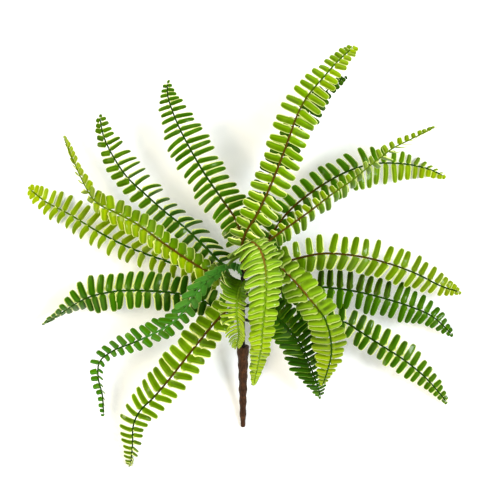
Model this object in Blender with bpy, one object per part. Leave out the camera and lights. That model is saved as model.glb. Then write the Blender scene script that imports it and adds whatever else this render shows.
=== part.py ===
"""An artificial Boston fern spray, lying on a table.

Eighteen moulded plastic fronds are pushed on the pegs of a dark central stem, whose foot stands in the
socket of a brown ribbed pick. The spray rests on the tip of the pick and on the tips of its two
outermost low fronds. Lengths below are in millimetres. Plan positions and heights are measured from the
point of the table under the mouth of the pick, with +Y from the pick towards the crown.
"""

import math

import bmesh
import bpy
import numpy as np
from mathutils import Matrix, Vector

MM = 0.001

# Where the point under the pick's mouth lies, so that the origin is the middle of the footprint
MOUTH_PLAN = (-1.0, -88.7)

# The pick: a tapered peg with a flared mouth, a rounded tip and a bamboo-like row of swellings
PICK_LENGTH = 88.0
PICK_MOUTH_HEIGHT = 34.0
PICK_BODY_RADIUS = 5.0
PICK_TAPER = 2.6
PICK_FLARE = 1.1
PICK_FLARE_LENGTH = 7.3
PICK_TIP_RADIUS = 2.05
PICK_TIP_RINGS = (35.0, 65.0)
PICK_SIDES = 14
PICK_RINGS = 19
PICK_SWELLINGS = (7.0, 20.0, 33.0, 47.0, 60.0, 73.0)
PICK_SWELL_HEIGHT = 0.45
PICK_SWELL_LENGTH = 4.2
SOCKET_DEPTH = 11.0

# The central stem, which carries the pegs
STEM_RADIUS = 2.3
STEM_LENGTH = 96.0
STEM_SIDES = 10
PEG_RADIUS = 1.3
PEG_REACH = 5.0
PEG_SIDES = 6
GAP = 0.3

# The fronds. Shares are of a frond's length, a pair's pitch or the longest leaflet's length.
RIB_WIDTH = 2.2
RIB_THICKNESS = 1.6
RIB_TIP_WIDTH = 1.0
LEAF_THICKNESS = 0.8
LEAF_DROOP = 12.0
LEAF_AT_BASE = 0.78
LEAF_AT_TIP = 0.10
LEAF_GROWTH = 0.80
LEAF_DECLINE = 1.82
CROWDING = 0.42
LEAF_SHARE = 0.56
LEAF_SHOULDER = 0.84
LEAF_SPREAD = 0.60
STALK_STEP = 7.0
LEVEL_AT = 0.66
STEPS_PER_SPAN = 12

PICK_AXIS_TILT = math.asin((PICK_MOUTH_HEIGHT - PICK_TIP_RADIUS) / (PICK_LENGTH - PICK_TIP_RADIUS))
AXIS = np.array([0.0, math.cos(PICK_AXIS_TILT), math.sin(PICK_AXIS_TILT)])
MOUTH = np.array([0.0, 0.0, PICK_MOUTH_HEIGHT])

# Each frond: its seat (the distance of its peg from the pick's mouth), its number of leaflet pairs, its
# longest leaflet on the left and on the right, its bare stalk, how far its leaflets lean towards the tip
# (in degrees: left side at the base and at the tip, right side at the base and at the tip), its colour,
# and the points of its rib as (x, y, height, roll in degrees). Left and right are those of someone who
# looks from the stem to the tip. Roll turns the blade about the rib: above zero, the right side sinks.
FRONDS = {
    "frond_01": dict(
        seat=56, pairs=21, leaf=(17, 19), bare=30, lean=(-22, 20, -18, 25), colour="olive",
        rib=[(-18, 62, 45, 0), (-43, 73, 40, 0), (-78, 85, 35, 0), (-113, 98, 29, 0),
        (-143, 113, 21, 0), (-173, 131, 10, 0), (-196, 143, 1.6, 0), (-213, 156, 0.8, 0)]),
    "frond_02": dict(
        seat=68, pairs=23, leaf=(15, 16), bare=28, lean=(-35, -25, 35, 20), colour="olive",
        rib=[(-18, 66, 66, 0), (-31, 72, 68, 0), (-53, 85, 68, 0), (-78, 102, 66, 0), (-103, 120, 61, 0),
        (-125, 132, 54, -10), (-143, 141, 46, -35), (-152, 151, 41, -65), (-163, 172, 36, -75),
        (-178, 207, 30, -75)]),
    "frond_03": dict(
        seat=84, pairs=22, leaf=(14, 19), bare=22, lean=(-10, 32, -22, 35), colour="mid",
        rib=[(-11, 78, 66, 0), (-23, 84, 64, 0), (-38, 99, 61, 8), (-58, 118, 57, 15), (-78, 134, 54, 25),
        (-97, 151, 51, 20), (-115, 168, 48, 10), (-129, 189, 45, 0), (-138, 208, 43, 0),
        (-142, 227, 42, 0)]),
    "frond_04": dict(
        seat=91, pairs=22, leaf=(20, 21), bare=20, lean=(0, -3, -16, 6), colour="mid",
        rib=[(-1, 99, 66, 0), (-6, 123, 65, 0), (-21, 146, 62, 0), (-38, 171, 58, 0), (-53, 197, 54, 0),
        (-65, 221, 50, 0), (-74, 246, 46, 0), (-75, 261, 44, 0)]),
    "frond_05": dict(
        seat=95, pairs=27, leaf=(22, 23), bare=14, lean=(-8, -3, 8, 26), colour="bright",
        rib=[(-1, 100, 76, 0), (4, 115, 84, 0), (13, 129, 89, 0), (26, 156, 93, 0), (37, 183, 95, 0),
        (45, 205, 94, 0), (53, 227, 92, 0), (63, 246, 87, 0), (78, 264, 79, -5), (93, 281, 69, -10),
        (109, 296, 58, -10)]),
    "frond_06": dict(
        seat=87, pairs=23, leaf=(19, 19), bare=24, lean=(0, 5, 0, 10), colour="dark",
        rib=[(1, 100, 60, 0), (7, 123, 59, 0), (18, 146, 58, 0), (31, 173, 56, 0), (44, 198, 54, 0),
        (56, 218, 52, 0), (69, 238, 49, 0), (85, 255, 44, 0), (101, 267, 38, 0)]),
    "frond_07": dict(
        seat=82, pairs=24, leaf=(16, 16), bare=26, lean=(-20, 15, -20, 10), colour="olive",
        rib=[(15, 95, 72, 10), (33, 112, 76, 20), (51, 125, 77, 25), (69, 139, 76, 25), (87, 152, 74, 30),
        (106, 164, 71, 40), (122, 176, 67, 55), (135, 186, 62, 70), (148, 196, 57, 75),
        (166, 205, 51, 75), (190, 217, 44, 75)]),
    "frond_08": dict(
        seat=77, pairs=22, leaf=(15, 19), bare=34, lean=(0, 30, -32, 10), colour="mid",
        rib=[(15, 93, 50, 0), (29, 112, 48, 0), (42, 130, 47, 0), (59, 146, 47, 0), (82, 162, 45, 0),
        (105, 174, 40, 0), (129, 181, 31, 0), (152, 182, 19, 0), (171, 180, 7, 0), (187, 176, 1.3, 0),
        (200, 170, 0.8, 0)]),
    "frond_09": dict(
        seat=72, pairs=20, leaf=(19, 18), bare=24, lean=(-2, -4, -15, -10), colour="bright",
        rib=[(19, 78, 64, 0), (37, 82, 66, 0), (57, 88, 67, 0), (79, 92, 66, 0), (102, 91, 63, 0),
        (126, 87, 58, 0), (151, 80, 50, 0), (174, 71, 42, 0), (196, 60, 33, 0), (215, 54, 26, 0)]),
    "frond_10": dict(
        seat=43, pairs=21, leaf=(19, 19), bare=30, lean=(-12, -12, 9, 0), colour="dark",
        rib=[(19, 43, 46, 0), (40, 54, 45, 0), (62, 59, 44, 0), (87, 58, 43, 0), (114, 54, 41, 0),
        (142, 47, 38, 0), (167, 39, 33, 0), (189, 29, 25, 0), (208, 12, 14, 0)]),
    "frond_11": dict(
        seat=29, pairs=20, leaf=(17, 17), bare=40, lean=(-15, 0, 5, 5), colour="mid",
        rib=[(19, 23, 38, 0), (47, 22, 35, 0), (75, 25, 34, 0), (100, 24, 34, 0), (117, 14, 34, 0),
        (137, 1, 32, 0), (159, -13, 29, 0), (179, -29, 22, 0), (194, -45, 14, 0), (203, -56, 8, 0)]),
    "frond_12": dict(
        seat=59, pairs=17, leaf=(20, 22), bare=26, lean=(25, 0, -32, 0), colour="dark",
        rib=[(13, 45, 60, 0), (27, 34, 63, 0), (40, 23, 63, 0), (52, 9, 60, 0), (61, -5, 54, 0),
        (68, -23, 45, 0), (74, -39, 36, 0), (77, -50, 28, 0)]),
    "frond_13": dict(
        seat=79, pairs=25, leaf=(20, 20), bare=34, lean=(28, 0, -35, 0), colour="light",
        rib=[(9, 87, 80, 0), (25, 87, 98, 0), (41, 75, 108, 0), (56, 59, 113, 0), (71, 41, 111, 0),
        (81, 27, 104, 0), (86, 9, 92, 0), (87, -8, 78, 0), (83, -25, 63, 0), (79, -38, 52, 0)]),
    "frond_14": dict(
        seat=89, pairs=27, leaf=(20, 22), bare=34, lean=(0, 8, 0, 8), colour="light",
        rib=[(0, 92, 82, 0), (3, 101, 96, 0), (10, 103, 109, 0), (18, 93, 123, 0), (22, 77, 136, 0),
        (22, 58, 146, 0), (21, 38, 149, 0), (19, 19, 143, 0), (18, 1, 131, 0), (15, -15, 115, 0),
        (11, -36, 92, 0)]),
    "frond_15": dict(
        seat=64, pairs=20, leaf=(14, 18), bare=26, lean=(10, 20, 0, 20), colour="lime",
        rib=[(0, 63, 74, 0), (-1, 63, 94, 0), (-3, 58, 114, 0), (-5, 49, 130, 0), (-6, 36, 138, 0),
        (-5, 24, 134, 0), (-4, 13, 122, 0), (-6, 1, 106, 0)]),
    "frond_16": dict(
        seat=74, pairs=25, leaf=(14, 14), bare=20, lean=(0, 10, 0, 10), colour="mid",
        rib=[(-7, 79, 78, -75), (-21, 75, 86, -75), (-35, 66, 89, -75), (-47, 53, 88, -70),
        (-57, 37, 83, -60), (-69, 24, 76, -45), (-88, 13, 67, -35), (-108, 4, 56, -30),
        (-128, -4, 45, -35), (-142, -15, 36, -50), (-144, -31, 29, -65), (-140, -49, 22, -70),
        (-139, -68, 16, -70)]),
    "frond_17": dict(
        seat=35, pairs=21, leaf=(18, 19), bare=22, lean=(-26, 0, 10, 0), colour="mid",
        rib=[(-15, 34, 46, 0), (-31, 41, 48, 0), (-48, 49, 50, 0), (-68, 53, 50, 0), (-93, 55, 49, 0),
        (-121, 55, 46, 0), (-145, 51, 41, -10), (-161, 45, 35, -45), (-179, 34, 28, -70),
        (-197, 22, 21, -70)]),
    "frond_18": dict(
        seat=49, pairs=22, leaf=(18, 19), bare=20, lean=(-20, 5, 5, -5), colour="bright",
        rib=[(-11, 39, 62, 0), (-23, 29, 68, 0), (-37, 13, 70, 0), (-53, -7, 68, 0), (-71, -30, 61, 0),
        (-88, -50, 50, 0), (-102, -64, 39, -10), (-109, -79, 28, -25), (-110, -97, 16, -35),
        (-112, -119, 4, -35)]),
}

# Base colour (linear RGB) and roughness of each plastic
PLASTICS = {
    "lime": ((0.42, 0.55, 0.04), 0.42),
    "light": ((0.29, 0.46, 0.06), 0.42),
    "bright": ((0.16, 0.36, 0.02), 0.40),
    "olive": ((0.17, 0.31, 0.02), 0.42),
    "mid": ((0.06, 0.22, 0.01), 0.40),
    "dark": ((0.02, 0.10, 0.01), 0.40),
    "pick": ((0.05, 0.02, 0.012), 0.55),
    "stem": ((0.03, 0.02, 0.01), 0.50),
}


def clear_scene():
    for obj in list(bpy.data.objects):
        bpy.data.objects.remove(obj, do_unlink=True)


def plastic(name):
    """The Principled material of one of the plastics."""
    if name in bpy.data.materials:
        return bpy.data.materials[name]
    colour, roughness = PLASTICS[name]
    material = bpy.data.materials.new(name)
    material.use_nodes = True
    shader = material.node_tree.nodes["Principled BSDF"]
    shader.inputs["Base Color"].default_value = (*colour, 1.0)
    shader.inputs["Roughness"].default_value = roughness
    shader.inputs["Metallic"].default_value = 0.0
    return material


def add_object(name, bm, material_name, parent=None):
    """Turns a bmesh in millimetres into an object in metres."""
    bmesh.ops.scale(bm, vec=(MM, MM, MM), verts=bm.verts)
    mesh = bpy.data.meshes.new(name)
    bm.to_mesh(mesh)
    bm.free()
    obj = bpy.data.objects.new(name, mesh)
    bpy.context.scene.collection.objects.link(obj)
    obj.data.materials.append(plastic(material_name))
    obj.parent = parent
    return obj


def unit(v):
    return v / np.linalg.norm(v)


def smooth_line(points):
    """Rows of a Catmull-Rom curve through the rows of points."""
    p = np.array(points, float)
    p = np.vstack([2 * p[0] - p[1], p, 2 * p[-1] - p[-2]])
    rows = []
    for a, b, c, d in zip(p, p[1:], p[2:], p[3:]):
        for t in np.linspace(0, 1, STEPS_PER_SPAN, endpoint=False):
            rows.append(
                b + (c - a) * t / 2 + (2 * a - 5 * b + 4 * c - d) * t**2 / 2
                + (3 * b - 3 * c + d - a) * t**3 / 2
            )
    return np.array(rows + [p[-2]])


class Rib:
    """The centreline of a frond, with the frame of its blade: forward, right and up at each distance."""

    def __init__(self, spec):
        seat = MOUTH + AXIS * spec["seat"]
        first_roll = spec["rib"][0][3]
        rows = smooth_line([(*seat, first_roll), *spec["rib"]])
        self.at, self.roll = rows[:, :3], np.radians(rows[:, 3])
        steps = np.linalg.norm(np.diff(self.at, axis=0), axis=1)
        self.along = np.concatenate([[0], np.cumsum(steps)])
        self.length = self.along[-1]
        self.forward = np.gradient(self.at, self.along, axis=0)
        self.forward /= np.linalg.norm(self.forward, axis=1)[:, None]
        self.up = self.carried_up()

    def carried_up(self):
        """The blade's upward direction. The blade is level across at LEVEL_AT of its length. From there its
        upward direction is carried both ways with the least twist, and the roll then turns it."""
        count = len(self.at)
        middle = int(np.searchsorted(self.along, self.length * LEVEL_AT))
        up = np.zeros((count, 3))
        up[middle] = self.across(np.array([0.0, 0.0, 1.0]), middle)
        for i in range(middle + 1, count):
            up[i] = self.across(up[i - 1], i)
        for i in range(middle - 1, -1, -1):
            up[i] = self.across(up[i + 1], i)
        right = np.cross(self.forward, up)
        return up * np.cos(self.roll)[:, None] + right * np.sin(self.roll)[:, None]

    def across(self, v, i):
        return unit(v - np.dot(v, self.forward[i]) * self.forward[i])

    def frame(self, distance):
        """(place, forward, right, up) at that distance from the stem's axis."""
        place, forward, up = (
            np.array([np.interp(distance, self.along, rows[:, k]) for k in range(3)])
            for rows in (self.at, self.forward, self.up)
        )
        forward = unit(forward)
        up = unit(up - np.dot(up, forward) * forward)
        return place, forward, np.cross(forward, up), up


def leaf_share(t):
    """Length of the leaflets from the first pair, t = 0, to the last, t = 1, as a share of the longest."""
    return min(LEAF_AT_BASE + LEAF_GROWTH * t, 1.0, LEAF_AT_TIP + LEAF_DECLINE * (1 - t))


def rib_width(distance, length):
    return RIB_WIDTH + (RIB_TIP_WIDTH - RIB_WIDTH) * distance / length


def pair_places(spec, length):
    """(start, end, t) of each pair's root on the rib. The pairs stand closer together towards the tip."""
    count, start = spec["pairs"], spec["bare"]
    span = length - start
    edges = [
        start + span * ((1 + CROWDING) * i / count - CROWDING * (i / count) ** 2)
        for i in range(count + 1)
    ]
    return [
        (a, a + (b - a) * LEAF_SHARE, i / (count - 1))
        for i, (a, b) in enumerate(zip(edges, edges[1:]))
    ]


def leaflet_points(rib, spec, start, end, t, side):
    """Base-side shoulder, tip and tip-side shoulder of the leaflet on the left (-1) or the right (1)."""
    middle = (start + end) / 2
    place, forward, right, up = rib.frame(middle)
    at_base, at_tip = spec["lean"][:2] if side < 0 else spec["lean"][2:]
    lean = math.radians(at_base + (at_tip - at_base) * t)
    droop = math.radians(LEAF_DROOP)
    outward = (right * side * math.cos(droop) - up * math.sin(droop)) * math.cos(lean)
    outward = outward + forward * math.sin(lean)
    length = spec["leaf"][side > 0] * leaf_share(t)
    root = place + right * side * rib_width(middle, rib.length) / 2
    shoulder = root + outward * length * LEAF_SHOULDER
    half = forward * (end - start) * LEAF_SPREAD
    return shoulder - half, root + outward * length, shoulder + half


def build_frond(name, spec, parent):
    """One frond: a sheet of rib and leaflets cut to the rib, given its thickness by Solidify."""
    rib = Rib(spec)
    bm = bmesh.new()
    root = STEM_RADIUS + PEG_REACH + GAP
    places = pair_places(spec, rib.length)
    stalk_count = max(3, int(spec["bare"] / STALK_STEP))
    bare = np.linspace(root, places[0][0], stalk_count, endpoint=False)
    stations = [(d, None) for d in bare]
    for start, end, t in places:
        stations += [(start, t), (end, None)]
    stations.append((rib.length, None))
    rib_verts, rows = [], []
    for distance, t in stations:
        place, _, right, _ = rib.frame(distance)
        half = rib_width(distance, rib.length) / 2
        left_vert = bm.verts.new(place - right * half)
        right_vert = bm.verts.new(place + right * half)
        rows.append((left_vert, right_vert))
        rib_verts += [left_vert, right_vert]
    for i, ((a_left, a_right), (b_left, b_right)) in enumerate(zip(rows, rows[1:])):
        bm.faces.new((a_left, a_right, b_right))
        bm.faces.new((a_left, b_right, b_left))
        distance, t = stations[i]
        if t is None:
            continue
        end = stations[i + 1][0]
        for side, near, far in ((-1, a_left, b_left), (1, a_right, b_right)):
            points = leaflet_points(rib, spec, distance, end, t, side)
            near_shoulder, tip, far_shoulder = (bm.verts.new(p) for p in points)
            faces = [
                (near, far, far_shoulder),
                (near, far_shoulder, near_shoulder),
                (near_shoulder, far_shoulder, tip),
            ]
            for face in faces:
                bm.faces.new(face if side < 0 else face[::-1])
    bm.verts.index_update()
    on_rib = [v.index for v in rib_verts]
    obj = add_object(name, bm, spec["colour"], parent)
    group = obj.vertex_groups.new(name="rib")
    group.add(on_rib, 1.0, "REPLACE")
    wall = obj.modifiers.new("thickness", "SOLIDIFY")
    wall.thickness = RIB_THICKNESS * MM
    wall.offset = 0.0
    wall.vertex_group = "rib"
    wall.thickness_vertex_group = LEAF_THICKNESS / RIB_THICKNESS
    lay_on_table(obj)
    return obj


def lay_on_table(obj):
    """Applies the frond's wall, then lays flat on the table what would reach below it."""
    bpy.context.view_layer.update()
    graph = bpy.context.evaluated_depsgraph_get()
    obj.data = bpy.data.meshes.new_from_object(obj.evaluated_get(graph))
    obj.modifiers.clear()
    obj.vertex_groups.clear()
    half = len(obj.data.vertices) // 2
    for pair in zip(obj.data.vertices[:half], obj.data.vertices[half:]):
        lower, upper = sorted(pair, key=lambda vertex: vertex.co.z)
        lower.co.z = max(lower.co.z, 0.0)
        upper.co.z = max(upper.co.z, LEAF_THICKNESS * MM)


def along_axis(bm, start, direction):
    """Turns a bmesh made along +Z from the origin to run along direction from start."""
    turn = Vector((0, 0, 1)).rotation_difference(Vector(direction)).to_matrix().to_4x4()
    bmesh.ops.transform(bm, matrix=Matrix.Translation(start) @ turn, verts=bm.verts)


def rod(start, direction, length, radius, sides):
    """A bmesh of a closed rod from start along direction."""
    bm = bmesh.new()
    bmesh.ops.create_cone(
        bm, cap_ends=True, segments=sides, radius1=radius, radius2=radius, depth=length,
        matrix=Matrix.Translation((0, 0, length / 2)),
    )
    along_axis(bm, start, direction)
    return bm


def pick_radius(distance):
    """Radius of the pick at a distance from its mouth."""
    share = distance / PICK_LENGTH
    taper = PICK_BODY_RADIUS - PICK_TAPER * share
    flare = PICK_FLARE * math.exp(-distance / PICK_FLARE_LENGTH)
    swell = sum(math.exp(-((distance - s) / PICK_SWELL_LENGTH) ** 2) for s in PICK_SWELLINGS)
    return taper + flare + PICK_SWELL_HEIGHT * (swell - 0.5)


def build_pick(parent):
    """The pick: a turned profile with its socket, leaning from its mouth down to the table."""
    round_start = PICK_LENGTH - PICK_TIP_RADIUS
    outline = [(GAP + STEM_RADIUS, -SOCKET_DEPTH), (GAP + STEM_RADIUS, 0.0)]
    outline += [(pick_radius(d), -d) for d in np.linspace(0, round_start, PICK_RINGS)]
    tip = pick_radius(round_start)
    for degrees in PICK_TIP_RINGS:
        angle = math.radians(degrees)
        outline.append((tip * math.cos(angle), -round_start - PICK_TIP_RADIUS * math.sin(angle)))
    bm = bmesh.new()
    floor = bm.verts.new((0, 0, -SOCKET_DEPTH))
    end = bm.verts.new((0, 0, -PICK_LENGTH))
    rings = []
    for radius, z in outline:
        angles = [2 * math.pi * k / PICK_SIDES for k in range(PICK_SIDES)]
        rings.append([bm.verts.new((radius * math.cos(a), radius * math.sin(a), z)) for a in angles])
    for upper, lower in zip(rings, rings[1:]):
        for k in range(PICK_SIDES):
            n = (k + 1) % PICK_SIDES
            bm.faces.new((upper[k], lower[k], lower[n], upper[n]))
    for k in range(PICK_SIDES):
        n = (k + 1) % PICK_SIDES
        bm.faces.new((floor, rings[0][k], rings[0][n]))
        bm.faces.new((end, rings[-1][n], rings[-1][k]))
    along_axis(bm, MOUTH, AXIS)
    for vert in bm.verts:
        vert.co.z = max(vert.co.z, 0.0)
    return add_object("pick", bm, "pick", parent)


def build_stem(ribs, parent):
    """The central stem with a peg for each frond, joined by one Boolean union."""
    foot = MOUTH - AXIS * (SOCKET_DEPTH - GAP)
    body = rod(foot, AXIS, SOCKET_DEPTH - GAP + STEM_LENGTH, STEM_RADIUS, STEM_SIDES)
    stem = add_object("stem", body, "stem", parent)
    pegs = bpy.data.collections.new("pegs")
    bpy.context.scene.collection.children.link(pegs)
    for rib in ribs:
        reach = STEM_RADIUS + PEG_REACH
        direction = unit(rib.frame(reach)[0] - rib.at[0])
        peg = add_object("peg", rod(rib.at[0], direction, reach, PEG_RADIUS, PEG_SIDES), "stem", parent)
        bpy.context.scene.collection.objects.unlink(peg)
        pegs.objects.link(peg)
    join = stem.modifiers.new("pegs", "BOOLEAN")
    join.operation = "UNION"
    join.operand_type = "COLLECTION"
    join.collection = pegs
    join.solver = "EXACT"
    bpy.context.view_layer.update()
    graph = bpy.context.evaluated_depsgraph_get()
    stem.data = bpy.data.meshes.new_from_object(stem.evaluated_get(graph))
    stem.modifiers.remove(join)
    for peg in list(pegs.objects):
        bpy.data.objects.remove(peg, do_unlink=True)
    bpy.data.collections.remove(pegs)
    return stem


def main():
    clear_scene()
    spray = bpy.data.objects.new("spray", None)
    spray.location = (MOUTH_PLAN[0] * MM, MOUTH_PLAN[1] * MM, 0)
    bpy.context.scene.collection.objects.link(spray)
    build_pick(spray)
    build_stem([Rib(spec) for spec in FRONDS.values()], spray)
    for name, spec in FRONDS.items():
        build_frond(name, spec, spray)


main()
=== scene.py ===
"""An artificial Boston fern spray on a pale table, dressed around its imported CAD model.

Each frond is grown by one Geometry Nodes tree along the rib that its CAD node follows. The pick and the
stem are turned in mesh code. Lengths in the tables are in millimetres, measured as in the CAD model from
the point of the table under the mouth of the pick. Everything in the scene is in metres.
"""

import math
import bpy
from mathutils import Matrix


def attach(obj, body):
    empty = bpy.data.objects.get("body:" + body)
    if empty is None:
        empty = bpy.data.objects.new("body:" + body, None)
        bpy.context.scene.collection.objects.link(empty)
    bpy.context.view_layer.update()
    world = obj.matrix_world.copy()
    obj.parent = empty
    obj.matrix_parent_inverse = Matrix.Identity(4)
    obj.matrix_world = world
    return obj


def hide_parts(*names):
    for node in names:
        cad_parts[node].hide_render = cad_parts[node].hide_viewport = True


bl_info = {
    "name": "Fern spray",
    "version": (1, 0, 0),
    "blender": (4, 5, 0),
    "location": "View3D > Sidebar > Fern spray",
    "description": "Builds an artificial Boston fern spray with its pick, stem and fronds",
    "category": "Add Mesh",
}

import bmesh
import bpy
import numpy as np
from bpy.props import FloatProperty, FloatVectorProperty, IntProperty, PointerProperty
from mathutils import Matrix, Vector, noise

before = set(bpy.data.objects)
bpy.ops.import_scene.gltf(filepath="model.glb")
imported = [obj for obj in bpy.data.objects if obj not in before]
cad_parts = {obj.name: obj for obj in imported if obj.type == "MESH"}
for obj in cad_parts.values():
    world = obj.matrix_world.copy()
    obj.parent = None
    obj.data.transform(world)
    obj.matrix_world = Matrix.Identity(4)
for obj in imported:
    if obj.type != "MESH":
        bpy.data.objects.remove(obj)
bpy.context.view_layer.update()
MM = 0.001

# Where the point under the pick's mouth lies
MOUTH_PLAN = (-1.0, -88.7)

# The pick and its lean
PICK_LENGTH = 88.0
PICK_MOUTH_HEIGHT = 34.0
PICK_TIP_RADIUS = 2.05
PICK_SWELLINGS = (7.0, 20.0, 33.0, 47.0, 60.0, 73.0)
PICK_SWELLING_REACH = 4.2
PICK_FLARE_REACH = 7.3
PICK_ROWS = 120
PICK_SIDES = 40
SOCKET_DEPTH = 11.0
SOCKET_GAP = 0.3
PICK_AXIS_TILT = math.asin((PICK_MOUTH_HEIGHT - PICK_TIP_RADIUS) / (PICK_LENGTH - PICK_TIP_RADIUS))
AXIS = np.array([0.0, math.cos(PICK_AXIS_TILT), math.sin(PICK_AXIS_TILT)])
MOUTH = np.array([0.0, 0.0, PICK_MOUTH_HEIGHT])

# The pick's rough skin: how often it changes around and along, and how high it is. It is smooth on the rows
# of the mouth and by the tip
BARK = ((1.6, 0.16, 0.26), (5.0, 0.35, 0.16))
SMOOTH_MOUTH_ROWS = 6
SMOOTH_TIP = 3.0

# The stem, its collars and its pegs
STEM_LENGTH = 96.0
STEM_ROWS = 190
STEM_SIDES = 24
COLLAR_REACH = 1.1
COLLARS_FROM = 12.0
PEG_REACH = 7.3
PEG_SIDES = 14

# The stage, in metres: the table's half width, the right light, and the camera with its lens in millimetres
TABLE_REACH = 4.0
LIGHT_AT = (1.4, 0.1, 2.0)
CAMERA_AT = (0.0060, 0.0068, 5.0)
CAMERA_LENS = 360.0
CAMERA_SENSOR = 36.0
CAMERA_CLIP = 20.0

# A rib's line: steps between two of its points, and the share of its length where the blade is level
STEPS_PER_SPAN = 12
LEVEL_AT = 0.66

# What the fronds share where their own row doesn't say otherwise
USUAL_FROND = dict(
    root=(0.5, 0.5), hook=(0, 0, 0, 0, 0, 0), twist=(8, 8, 8, 8, 8, 8), curl=30, taper=(0.78, 0.2, 2.2),
    crowding=0.18, side=(-0.6, 0.6), tint=("lime", 0, 0, 0, 0))


def frond(**own):
    """One frond's values: its own, and the usual ones for the rest."""
    return USUAL_FROND | own


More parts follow.
